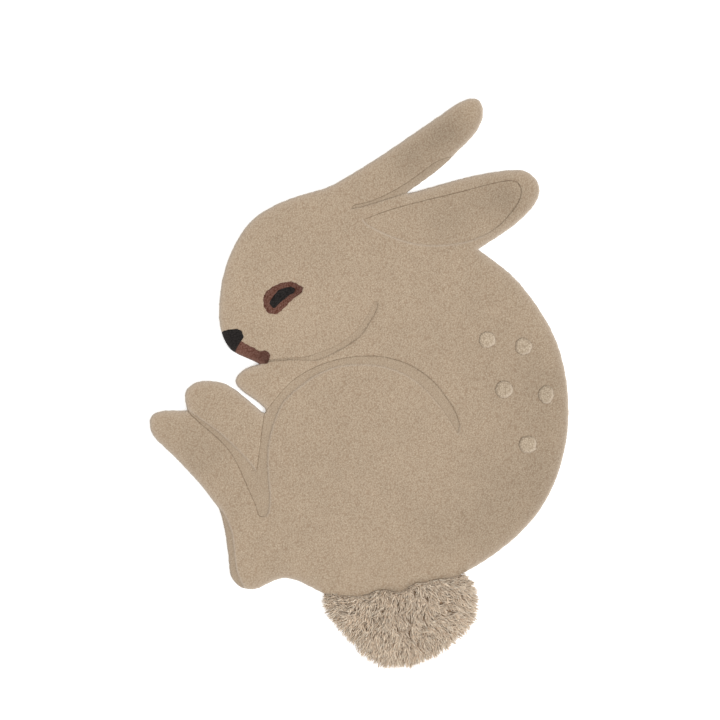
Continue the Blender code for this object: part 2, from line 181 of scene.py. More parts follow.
EYE_RING = (
    Node(-201, 176, 90), Node(-150, 216, 8), Node(-118, 203, -38, -95), Node(-125, 189, -150),
    Node(-171, 148, -140, 180), Node(-190, 149, 165, 130),
)
PUPIL = (
    Node(-189, 170, 140, 62), Node(-175, 193, 46), Node(-152, 204, 6), Node(-134, 200, -70),
    Node(-152, 184, -143), Node(-177, 162, -152),
)
# Nose and mouth reach out past the rug's edge, which cuts them off
NOSE = (
    Node(-300, 104, 90, 30), Node(-262, 117, 0), Node(-243, 104, -88), Node(-247, 91, -140),
    Node(-261, 66, -110, -150), Node(-280, 50, 180, 120),
)
MOUTH = (
    Node(-247, 91, 40, -32), Node(-207, 70, -25, 30), Node(-187, 61, -75), Node(-192, 45, -105, 190),
    Node(-214, 40.5, 192, 168), Node(-272, 54, 160, 50), Node(-261, 66, 48, 70),
)

# Hidden joins between the sheets of pile: head and ears, and haunch with feet; the back is the rest
HEAD_JOIN = (
    Node(-330, 46, 0), Node(-199, 49, 4), Node(-90, 60, 8), Node(-10, 95, 45), Node(38, 176, 50),
    Node(250, 284, 30), Node(420, 330, 30, 90), Node(420, 640, 180), Node(-330, 640, 180, -90),
)
HAUNCH_JOIN = (
    Node(-480, 20, 0), Node(-230, -60, -10), Node(-150, -12, 45), Node(25, 50, 0), Node(160, -12, -48),
    Node(210, -95, -75), Node(150, -300, -130), Node(0, -380, 180), Node(-200, -500, 200),
    Node(-480, -500, 180, 90),
)


@dataclass(frozen=True)
class Dot:
    """A round tuft on the back: its middle and half sizes, in millimetres."""

    x: float
    y: float
    half_width: float
    half_length: float


DOTS = (
    Dot(269, 94, 17.3, 17.3), Dot(345.5, 80, 18, 17.6), Dot(304.5, -10.5, 18, 18),
    Dot(393, -21, 16.4, 18.5), Dot(354.5, -126, 18.7, 18.3),
)


@dataclass(frozen=True)
class ToneSpot:
    """A soft spot where the pile is painted paler or darker: middle and radius in millimetres."""

    x: float
    y: float
    radius: float
    amount: float


TONE_SPOTS = (
    ToneSpot(115, 485, 60, -0.15), ToneSpot(185, 535, 50, -0.20), ToneSpot(200, 360, 75, -0.10),
    ToneSpot(310, 390, 50, -0.19), ToneSpot(385, -10, 85, -0.13), ToneSpot(370, -190, 90, -0.13),
    ToneSpot(270, -290, 90, -0.08), ToneSpot(160, -315, 60, -0.06), ToneSpot(-340, -140, 80, -0.08),
    ToneSpot(-120, 130, 105, 0.06),
)
MOUTH_SPOTS = (
    ToneSpot(-196, 56, 20, -0.32), ToneSpot(-255, 72, 28, 0.22),
)
EYE_SPOTS = (
    ToneSpot(-126, 200, 16, -0.22), ToneSpot(-168, 152, 18, 0.16),
)


def unit(vectors: Array) -> Array:
    """Vectors of length one along the last axis."""
    return vectors / np.maximum(np.linalg.norm(vectors, axis=-1, keepdims=True), 1e-12)


def smoothstep(share: Array) -> Array:
    """Blend that leaves 0 and reaches 1 level: three times the square less twice the cube."""
    share = np.clip(share, 0, 1)
    return share * share * (3 - 2 * share)


def bell(distance: Array, width: float) -> Array:
    """Bell curve: 1 at nought, and e to the power of minus 1 at the width."""
    return np.exp(-(distance / width) ** 2)


def quarter_round(distance: Array, width: float) -> Array:
    """Rise along a quarter of an ellipse: steep at nought, and level at 1 from the width on."""
    return np.sqrt(1 - (1 - np.clip(distance / width, 0, 1)) ** 2)


def handle_share(near: float, far: float) -> float:
    """Length of a smooth curve's handle as a share of its chord.

    Args:
        near: Angle between the curve and its chord at the handle's end, in radians.
        far: The same angle at the other end.

    Returns:
        The share that makes the span bend as evenly as a round arc does.
    """
    bow = math.sqrt(2) * (math.sin(near) - math.sin(far) / 16) * (math.sin(far) - math.sin(near) / 16)
    bow *= math.cos(near) - math.cos(far)
    spread = 1 + (math.sqrt(5) - 1) / 2 * math.cos(near) + (3 - math.sqrt(5)) / 2 * math.cos(far)
    return (2 + bow) / (3 * spread)


def span(start: Node, end: Node) -> Array:
    """Points of the smooth curve between two nodes, the last one left out.

    The curve is a cubic with its two handles along the headings, each a share of the chord.
    """
    first = np.array((start.x, start.y)) * MM
    last = np.array((end.x, end.y)) * MM
    chord = last - first
    length = math.hypot(*chord)
    along = math.atan2(chord[1], chord[0])
    leave = math.radians(start.heading if start.leave is None else start.leave)
    arrive = math.radians(end.heading)
    near = math.remainder(leave - along, 2 * math.pi)
    far = math.remainder(along - arrive, 2 * math.pi)
    out = np.array((math.cos(leave), math.sin(leave))) * length * handle_share(near, far)
    back = np.array((math.cos(arrive), math.sin(arrive))) * length * handle_share(far, near)
    t = (np.arange(max(1, round(length / OUTLINE_STEP))) / max(1, round(length / OUTLINE_STEP)))[:, None]
    weights = ((1 - t) ** 3, 3 * t * (1 - t) ** 2, 3 * t ** 2 * (1 - t), t ** 3)
    corners = (first, first + out, last - back, last)
    return sum(weight * corner for weight, corner in zip(weights, corners))


@dataclass(frozen=True)
class Relief:
    """Smooth random relief: random heights at the corners of square cells, blended between them."""

    size: float
    seed: int
    cells: int = 256

    def at(self, places: Array) -> Array:
        """Heights between -1 and 1 at places, an array of (x, y) rows."""
        table = np.random.default_rng(self.seed).uniform(-1, 1, (self.cells, self.cells))
        scaled = places / self.size
        cell = np.floor(scaled).astype(int)
        across, up = np.moveaxis(smoothstep(scaled - cell), -1, 0)
        i, j = np.moveaxis(cell % self.cells, -1, 0)
        k, m = (i + 1) % self.cells, (j + 1) % self.cells
        low = table[i, j] * (1 - across) + table[k, j] * across
        high = table[i, m] * (1 - across) + table[k, m] * across
        return low * (1 - up) + high * up


@dataclass(frozen=True)
class Outline:
    """A line of points in the plane of the floor, in metres, closed unless it says otherwise."""

    points: Array
    closed: bool = True

    # Pairs of a place and a step that are worked out at one time
    BATCH = 1_500_000
    COARSE = 10

    @classmethod
    def through(cls, nodes: tuple[Node, ...], closed: bool = True) -> "Outline":
        """The smooth line through a table of nodes."""
        ends = nodes[1:] + nodes[:1] if closed else nodes[1:]
        points = np.concatenate([span(start, end) for start, end in zip(nodes, ends)])
        if not closed:
            points = np.vstack((points, np.array((nodes[-1].x, nodes[-1].y)) * MM))
        return cls(points, closed)

    @classmethod
    def oval(cls, dot: Dot, seed: int) -> "Outline":
        """The slightly uneven ring of a round tuft, its radius varied by slow waves round it."""
        rng = np.random.default_rng(seed)
        turns = np.linspace(0, 2 * math.pi, 48, endpoint=False)
        uneven = 1 + sum(rng.uniform(-0.02, 0.02) * np.cos(waves * turns + rng.uniform(0, 6))
                         for waves in (2, 3, 5))
        ring = np.column_stack((dot.x + dot.half_width * uneven * np.cos(turns),
                                dot.y + dot.half_length * uneven * np.sin(turns)))
        return cls(ring * MM)

    def ends(self) -> tuple[Array, Array]:
        """The start and end points of every step of the line."""
        if self.closed:
            return self.points, np.roll(self.points, -1, axis=0)
        return self.points[:-1], self.points[1:]

    def area(self) -> float:
        """Area inside, half the sum of the cross products of the steps, positive when it runs leftwards."""
        a, b = self.ends()
        return float(np.sum(a[:, 0] * b[:, 1] - b[:, 0] * a[:, 1]) / 2)

    def normals(self) -> Array:
        """Level directions out of the outline at its points."""
        ahead = np.roll(self.points, -1, axis=0) - np.roll(self.points, 1, axis=0)
        return unit(np.column_stack((ahead[:, 1], -ahead[:, 0]))) * math.copysign(1, self.area())

    def moved(self, distance: Array | float) -> "Outline":
        """The outline moved outwards by a distance, or by one for each point."""
        return Outline(self.points + self.normals() * np.reshape(distance, (-1, 1)))

    def ragged(self, amount: float, size: float, seed: int) -> "Outline":
        """The outline with the small random waves of hand-trimmed tufts."""
        return self.moved(amount * Relief(size, seed).at(self.points))

    def inside(self, places: Array) -> Array:
        """Whether each place is inside: a line from it crosses the outline an odd number of times."""
        (ax, ay), (bx, by) = (np.moveaxis(end, -1, 0) for end in self.ends())
        slope = (bx - ax) / np.where(by == ay, 1, by - ay)
        found = [((ay > y) != (by > y)) & (x < ax + (y - ay) * slope)
                 for x, y in ((part[:, :1], part[:, 1:]) for part in self.batches(places))]
        return np.concatenate([np.count_nonzero(crossed, axis=1) % 2 == 1 for crossed in found])

    def batches(self, places: Array) -> list[Array]:
        """The places in lots that fit the memory."""
        return np.array_split(places, 1 + len(places) * len(self.points) // self.BATCH)

    def nearest(self, places: Array) -> tuple[Array, Array]:
        """Distance from each place to the line, and the nearest point of the line.

        Each step is followed by the share of it that lies square to the place, kept between 0 and 1.
        """
        a, b = self.ends()
        step = b - a
        square = np.maximum((step ** 2).sum(axis=1), 1e-18)
        gaps, feet = [], []
        for part in self.batches(places):
            lead = part[:, None] - a
            share = np.clip((lead * step).sum(axis=2) / square, 0, 1)
            gap = ((lead - share[..., None] * step) ** 2).sum(axis=2)
            best = gap.argmin(axis=1)
            rows = np.arange(len(part))
            gaps.append(np.sqrt(gap[rows, best]))
            feet.append(a[best] + share[rows, best, None] * step[best])
        return np.concatenate(gaps), np.concatenate(feet)

    def depth(self, places: Array, reach: float) -> tuple[Array, Array]:
        """How deep each place lies inside, negative outside, and the nearest point of the outline.

        Args:
            places: Rows of (x, y).
            reach: Past this distance only the sign is right, and the depth stays at the reach.

        Returns:
            The depths and the nearest points, which are the places themselves past the reach.
        """
        coarse = Outline(self.points[::self.COARSE])
        spacing = np.linalg.norm(np.subtract(*coarse.ends()), axis=1).max()
        low, high = self.points.min(axis=0) - reach, self.points.max(axis=0) + reach
        boxed = np.all((places > low) & (places < high), axis=1)
        depths = np.full(len(places), -reach)
        feet = places.copy()
        rows = np.flatnonzero(boxed)
        if not len(rows):
            return depths, feet
        gap, _ = coarse.nearest(places[rows])
        close = gap < reach + spacing
        far_rows, near_rows = rows[~close], rows[close]
        if len(far_rows):
            depths[far_rows] = np.where(coarse.inside(places[far_rows]), reach, -reach)
        gap, foot = self.nearest(places[near_rows])
        depths[near_rows] = np.where(self.inside(places[near_rows]), 1, -1) * np.minimum(gap, reach)
        feet[near_rows] = foot
        return depths, feet


def new_piece(name: str, points: Array, triangles: Array, replaces: tuple[str, ...] = (),
              sharp: float | None = 70.0) -> bpy.types.Object:
    """A mesh piece of the rug that rides on its body.

    Args:
        name: The piece's name.
        points: Rows of (x, y, z) in metres.
        triangles: Rows of three point numbers, facing outwards.
        replaces: Names of the solids that the piece stands for.
        sharp: Edges that turn more than this many degrees stay sharp.

    Returns:
        The new object, at the origin, shaded smooth.
    """
    mesh = bpy.data.meshes.new(name)
    mesh.vertices.add(len(points))
    mesh.vertices.foreach_set("co", np.ascontiguousarray(points, dtype=np.float32).ravel())
    mesh.loops.add(triangles.size)
    mesh.loops.foreach_set("vertex_index", np.ascontiguousarray(triangles, dtype=np.int32).ravel())
    mesh.polygons.add(len(triangles))
    mesh.polygons.foreach_set("loop_start", np.arange(0, triangles.size, 3, dtype=np.int32))
    mesh.update(calc_edges=True)
    mesh.shade_smooth()
    if sharp is not None:
        mesh.set_sharp_from_angle(angle=math.radians(sharp))
    piece = bpy.data.objects.new(name, mesh)
    bpy.context.scene.collection.objects.link(piece)
    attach(piece, BODY)
    if replaces:
        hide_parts(*replaces)
    LOG.info("%s: %d points, %d triangles", name, len(points), len(triangles))
    return piece


def paint(piece: bpy.types.Object, name: str, values: Array) -> None:
    """Store one number for each point of a piece, for its material to read."""
    piece.data.attributes.new(name, "FLOAT", "POINT").data.foreach_set("value", values.astype(np.float32))


def dress(piece: bpy.types.Object, material: bpy.types.Material) -> None:
    """Give a piece its finish."""
    piece.data.materials.clear()
    piece.data.materials.append(material)


def free_edges(triangles: Array) -> Array:
    """The directed edges that belong to one triangle only."""
    edges = triangles[:, (0, 1, 1, 2, 2, 0)].reshape(-1, 2)
    ordered = np.sort(edges, axis=1)
    key = ordered[:, 0] * (int(triangles.max()) + 1) + ordered[:, 1]
    _, first, count = np.unique(key, return_index=True, return_counts=True)
    return edges[first[count == 1]]


@dataclass
class Net:
    """A flat net of triangles: places are rows of (x, y), triangles rows of three place numbers."""

    places: Array
    triangles: Array

    JITTER = 0.13

    @classmethod
    def over(cls, low: Array, high: Array, pitch: float, seed: int) -> "Net":
        """A net over a rectangle: rows of points half a pitch out of step, each point a little astray."""
        rise = pitch * math.sqrt(3) / 2
        rows = int((high[1] - low[1]) / rise) + 2
        columns = int((high[0] - low[0]) / pitch) + 2
        row, column = np.mgrid[0:rows, 0:columns]
        places = np.stack((low[0] + (column + row % 2 / 2) * pitch, low[1] + row * rise), axis=-1)
        places = places.reshape(-1, 2)
        places += np.random.default_rng(seed).uniform(-cls.JITTER, cls.JITTER, places.shape) * pitch
        at = (row * columns + column)[:-1, :-1]
        right, above, across = at + 1, at + columns, at + columns + 1
        odd = (row % 2 == 1)[:-1, :-1]
        first = np.stack((at, right, np.where(odd, across, above)), axis=-1)
        second = np.stack((np.where(odd, at, right), across, above), axis=-1)
        return cls(places, np.concatenate((first.reshape(-1, 3), second.reshape(-1, 3))))

    @classmethod
    def within(cls, outline: Outline, pitch: float, margin: float, reach: float,
               seed: int) -> tuple["Net", Array, Array]:
        """A net over what lies inside an outline, with its border laid on the outline.

        Returns:
            The net, how deep each place lies inside, up to the reach, and which places are on the border.
        """
        low, high = outline.points.min(axis=0), outline.points.max(axis=0)
        whole = cls.over(low - margin, high + margin, pitch, seed)
        depth, feet = outline.depth(whole.places, reach)
        chosen = whole.mean(depth) > 0
        border = whole.border(chosen)
        whole.places[border] = feet[border]
        depth[border] = 0
        net, numbers = whole.kept(chosen)
        return net, depth[numbers], np.isin(numbers, border)

    @classmethod
    def filling(cls, outline: Outline) -> "Net":
        """The fewest triangles that fill a closed outline."""
        count = len(outline.points)
        ring = [(at, (at + 1) % count) for at in range(count)]
        flat = [Vector(place) for place in outline.points]
        corners, _, faces, *_ = delaunay_2d_cdt(flat, ring, [], INSIDE_ONLY, SAME_PLACE)
        return cls(np.array([tuple(corner) for corner in corners]), np.array(faces))

    def mean(self, values: Array) -> Array:
        """Mean over each triangle's corners of values at the places."""
        return values[self.triangles].mean(axis=1)

    def border(self, chosen: Array) -> Array:
        """Numbers of the places that chosen triangles share with the others."""
        return np.intersect1d(self.triangles[chosen], self.triangles[~chosen])

    def kept(self, chosen: Array) -> tuple["Net", Array]:
        """The net of the chosen triangles alone, and the numbers that its places had."""
        numbers, triangles = np.unique(self.triangles[chosen], return_inverse=True)
        return Net(self.places[numbers], triangles.reshape(-1, 3)), numbers


@dataclass(frozen=True)
class WallRow:
    """A row of a slab's wall: how far it stands out of the rim, and its share of the wall's height."""

    out: float
    share: float


def slab(net: Net, tops: Array, sill: float, rows: tuple[WallRow, ...],
         outwards: Array) -> tuple[Array, Array]:
    """A closed body under a net: its top, a wall in rows, and a flat underside.

    Args:
        net: The top's net.
        tops: Height of each place of the net.
        sill: Height of the underside.
        rows: The wall's rows from the top down; the last one stands at the sill with no overhang.
        outwards: Share of the rows' overhang that each place takes, 0 where a neighbour adjoins.

    Returns:
        The body's points and triangles.
    """
    edges = free_edges(net.triangles)
    ring, edge_ends = np.unique(edges, return_inverse=True)
    edge_ends = edge_ends.reshape(-1, 2)
    step = net.places[edges[:, 1]] - net.places[edges[:, 0]]
    side = np.column_stack((step[:, 1], -step[:, 0]))
    out = np.zeros((len(ring), 2))
    np.add.at(out, edge_ends[:, 0], side)
    np.add.at(out, edge_ends[:, 1], side)
    out = unit(out) * outwards[ring, None]
    layers = [np.column_stack((net.places, tops))]
    walls = []
    upper = ring
    count = len(net.places)
    for row in rows:
        place = net.places[ring] + out * row.out
        layers.append(np.column_stack((place, sill + (tops[ring] - sill) * row.share)))
        lower = count + np.arange(len(ring))
        a, b = upper[edge_ends[:, 0]], upper[edge_ends[:, 1]]
        c, d = lower[edge_ends[:, 0]], lower[edge_ends[:, 1]]
        walls += [np.column_stack((a, c, d)), np.column_stack((a, d, b))]
        upper = lower
        count += len(ring)
    flat = [Vector(place) for place in net.places[ring]]
    corners, _, faces, sources, _, _ = delaunay_2d_cdt(flat, edge_ends.tolist(), [], INSIDE_ONLY, SAME_PLACE)
    extra = np.array([tuple(corner) for corner, source in zip(corners, sources) if not source])
    extra = extra.reshape(-1, 2)
    numbers = np.array([source[0] if source else -1 for source in sources])
    numbers[numbers < 0] = len(ring) + np.arange(len(extra))
    under = numbers[np.array(faces)][:, ::-1] + (count - len(ring))
    layers.append(np.column_stack((extra, np.full(len(extra), sill))))
    return np.concatenate(layers), np.concatenate([net.triangles, *walls, under])


class Value:
    """A socket of a material's nodes that takes Python's arithmetic."""

    def __init__(self, sheet: "NodeSheet", socket: bpy.types.NodeSocket) -> None:
        """Keep the socket with the sheet of nodes that it belongs to."""
        self.sheet = sheet
        self.socket = socket

    def _math(self, operation: str, first: "Value | float", second: "Value | float") -> "Value":
        """The result of a Math node on two values."""
        return self.sheet.node("ShaderNodeMath", {"operation": operation}, {0: first, 1: second})

    def __add__(self, other: "Value | float") -> "Value":
        """Sum."""
        return self._math("ADD", self, other)

    def __radd__(self, other: float) -> "Value":
        """Sum with a number in front."""
        return self._math("ADD", other, self)

    def __sub__(self, other: "Value | float") -> "Value":
        """Difference."""
        return self._math("SUBTRACT", self, other)

    def __rsub__(self, other: float) -> "Value":
        """Difference from a number."""
        return self._math("SUBTRACT", other, self)

    def __mul__(self, other: "Value | float") -> "Value":
        """Product."""
        return self._math("MULTIPLY", self, other)

    def __rmul__(self, other: float) -> "Value":
        """Product with a number in front."""
        return self._math("MULTIPLY", other, self)


class NodeSheet:
    """The nodes of one new material, with its shader's fixed values set on the shader itself."""

    def __init__(self, name: str, fixed: dict[str, object]) -> None:
        """Make the material and set the shader's sockets that are the same all over."""
        self.material = bpy.data.materials.new(name)
        self.material.use_nodes = True
        self.nodes = self.material.node_tree.nodes
        self.links = self.material.node_tree.links
        self.shader = self.nodes["Principled BSDF"]
        for socket, value in fixed.items():
            self.shader.inputs[socket].default_value = value

    def node(self, kind: str, settings: dict[str, object] | None = None,
             inputs: dict[int | str, object] | None = None, output: int | str = 0) -> Value:
        """Add a node.

        Args:
            kind: The node's type.
            settings: Its own settings, set first.
            inputs: A value or a linked Value for each socket that is named or numbered.
            output: The socket that is wanted.

        Returns:
            That socket, ready for arithmetic.
        """
        made = self.nodes.new(kind)
        for setting, value in (settings or {}).items():
            setattr(made, setting, value)
        for socket, value in (inputs or {}).items():
            self.feed(made.inputs[socket], value)
        return Value(self, made.outputs[output])

    def feed(self, socket: bpy.types.NodeSocket, value: object) -> None:
        """Link a Value to a socket, or set the socket's own number or colour."""
        if isinstance(value, Value):
            self.links.new(value.socket, socket)
        else:
            socket.default_value = value

    def place(self) -> Value:
        """The object's own coordinates, in metres."""
        return self.node("ShaderNodeTexCoord", output="Object")

    def noise(self, size: float, detail: float) -> Value:
        """Cloudy noise between 0 and 1 with patches of about this size in metres."""
        return self.node("ShaderNodeTexNoise", {}, {"Vector": self.place(), "Scale": 1 / size,
                                                    "Detail": detail, "Roughness": 0.6})

    def attribute(self, name: str) -> Value:
        """A number that the mesh carries at its points."""
        return self.node("ShaderNodeAttribute", {"attribute_name": name}, output="Fac")

    def scaled(self, colour: tuple[float, float, float] | Value, share: Value) -> Value:
        """A colour made lighter or darker by a value."""
        return self.node("ShaderNodeVectorMath", {"operation": "SCALE"}, {0: colour, "Scale": share})

    def mix(self, first: object, second: object, share: Value) -> Value:
        """A blend of two colours."""
        return self.node("ShaderNodeMix", {"data_type": "RGBA"}, {0: share, 6: first, 7: second}, output=2)

    def dots(self, size: float) -> Value:
        """Distance to the nearest of scattered points about this far apart, as a share of the size."""
        return self.node("ShaderNodeTexVoronoi", {"feature": "F1"},
                         {"Vector": self.place(), "Scale": 1 / size, "Randomness": 1.0}, "Distance")

    def ramp(self, value: Value, start: tuple[float, float], end: tuple[float, float], kind: str) -> Value:
        """A blend from one (value, result) pair to another, held level past both."""
        return self.node("ShaderNodeMapRange", {"interpolation_type": kind},
                         {"Value": value, "From Min": start[0], "From Max": end[0],
                          "To Min": start[1], "To Max": end[1]})

    def finish(self, colour: Value, height: Value) -> bpy.types.Material:
        """Link the base colour, and the height of fine relief in metres as a bump; return the material."""
        bump = self.node("ShaderNodeBump", {}, {"Height": height, "Distance": 1.0, "Strength": 1.0})
        self.feed(self.shader.inputs["Base Color"], colour)
        self.feed(self.shader.inputs["Normal"], bump)
        return self.material


@dataclass(frozen=True)
class CutPile:
    """Dense wool pile, shorn level: pale tuft tips with darker gaps, and slow drifts of tone."""

    name: str
    colour: tuple[float, float, float]
    flank_highlight: tuple[float, float, float]
    grain: tuple[float, float, float] = (0.085, 0.085, 0.068)
    contrast: float = 1.1
    drift: float = 0.10
    tuft: float = 3.3 * MM
    fibre: float = 1.05 * MM
    fleck: float = 7 * MM
    relief: float = 0.9 * MM
    sheen: float = 0.25

    # Share of each colour that is left in the painted shade of the fine dark line along a shorn edge, as dark
    # as the gap between two tufts
    SHADE = (0.30, 0.26, 0.22)
    # Distances from a shorn edge where its fine painted shade line is full and where it ends
    LINE = (0.1 * MM, 1.7 * MM)
    # Distances from a pale fleck's middle, as shares of the spacing, and how much paler it is
    FLECK = (0.12, 0.24)
    FLECK_PALER = 0.55

    def material(self) -> bpy.types.Material:
        """Round tuft tips from the distance to the nearest of scattered points, fibres from fine noise."""
        sheet = NodeSheet(self.name, {"Roughness": 0.95, "Specular IOR Level": 0.15,
                                      "Sheen Weight": self.sheen, "Sheen Roughness": 0.45})
        tuft = sheet.dots(self.tuft)
        fibre = sheet.noise(self.fibre, 2)
        drift = sheet.noise(60 * MM, 2)
        middle, rim = self.FLECK
        tips = sheet.ramp(sheet.dots(self.fleck), (middle, self.FLECK_PALER), (rim, 0.0), "LINEAR")
        speckle = self.contrast * (0.40 - tuft) + (fibre - 0.5) + tips
        share = 0.5 + sheet.attribute("nap") * speckle
        dark, pale = ([part + sign * extra for part, extra in zip(self.colour, self.grain)]
                      for sign in (-1, 1))
        speckled = sheet.mix((*dark, 1), (*pale, 1), share)
        away = sheet.node("ShaderNodeMath", {"operation": "ABSOLUTE"}, {0: sheet.attribute("cut")})
        line = sheet.ramp(away, (self.LINE[0], 1.0), (self.LINE[1], 0.0), "SMOOTHSTEP")
        tone = sheet.attribute("tone") * (1 + self.drift * (drift - 0.5))
        height = self.relief * (0.5 - tuft) + 0.5 * self.relief * (fibre - 0.5)
        # Painted highlight: open tufts mixed towards the pale flank colour
        opened = sheet.mix(sheet.scaled(speckled, tone), (*self.flank_highlight, 1), sheet.attribute("open"))
        # Painted shade: the colour that the fine line along a shorn edge is mixed towards
        gap = [part * share for part, share in zip(self.colour, self.SHADE)]
        return sheet.finish(sheet.mix(opened, (*gap, 1), sheet.attribute("ink") * line), height)


@dataclass(frozen=True)
class ShagYarn:
    """Long yarn ends: painted shade darkens them towards the root, pale at the tip, with fibres along each
    lock.
    """

    name: str
    colour: tuple[float, float, float]
    root_shade_colour: tuple[float, float, float]
    streak: float = 0.34
    relief: float = 0.25 * MM

    def material(self) -> bpy.types.Material:
        """The root's painted shade colour and the tip colour blended by the way along a lock, with noise
        drawn out along it.
        """
        sheet = NodeSheet(self.name, {"Roughness": 0.85, "Specular IOR Level": 0.2, "Sheen Weight": 0.2,
                                      "Sheen Roughness": 0.4})
        around = sheet.node("ShaderNodeUVMap", {"uv_map": "lock"})
        fibres = sheet.node("ShaderNodeTexNoise", {}, {"Vector": around, "Scale": 1.0, "Detail": 2.0})
        tone = sheet.attribute("tone") * (1 + self.streak * (fibres - 0.5))
        blend = sheet.mix((*self.root_shade_colour, 1), (*self.colour, 1), sheet.attribute("along"))
        return sheet.finish(sheet.scaled(blend, tone), self.relief * fibres)


@dataclass(frozen=True)
class WovenBacking:
    """Plain cotton cloth that the yarn is tufted through."""

    name: str
    colour: tuple[float, float, float]
    thread: float = 1.6 * MM

    def material(self) -> bpy.types.Material:
        """Two crossing waves for the threads, with blotches of size and wear."""
        sheet = NodeSheet(self.name, {"Roughness": 0.9, "Specular IOR Level": 0.15})
        place = sheet.place()
        waves = [sheet.node("ShaderNodeTexWave", {"wave_type": "BANDS", "bands_direction": side},
                            {"Vector": place, "Scale": 1 / self.thread / 3.2, "Distortion": 0.6,
                             "Detail": 1.0}, "Fac") for side in ("X", "Y")]
        weave = waves[0] * waves[1]
        tone = 0.86 + 0.16 * weave + 0.14 * (sheet.noise(50 * MM, 2) - 0.5)
        return sheet.finish(sheet.scaled(self.colour, tone), 0.3 * MM * weave)


class Yarn(Enum):
    """The yarns of the rug, with the finish of each and the record's slot."""

    BEIGE = (CutPile("beige_cut_pile", (0.436, 0.338, 0.240), (0.505, 0.418, 0.332)), "beige_pile")
    PALE = (CutPile("pale_cut_pile", (0.515, 0.414, 0.302), (0.66, 0.56, 0.45), (0.12, 0.11, 0.088)),
            "pale_pile")
    BROWN = (CutPile("brown_cut_pile", (0.135, 0.062, 0.045), (0.20, 0.105, 0.08), (0.055, 0.036, 0.030),
                     sheen=0.12), "brown_pile")
    BLACK = (CutPile("black_cut_pile", (0.0195, 0.0165, 0.0155), (0.035, 0.03, 0.028),
                     (0.011, 0.0095, 0.009), sheen=0.03), "black_pile")

    def __init__(self, finish: CutPile, slot: str) -> None:
        """Keep the finish and the slot apart."""
        self.finish = finish
        self.slot = slot


@dataclass(frozen=True)
class Patch:
    """An area of the carpet of pile that is a piece of its own."""

    name: str
    yarn: Yarn
    replaces: str


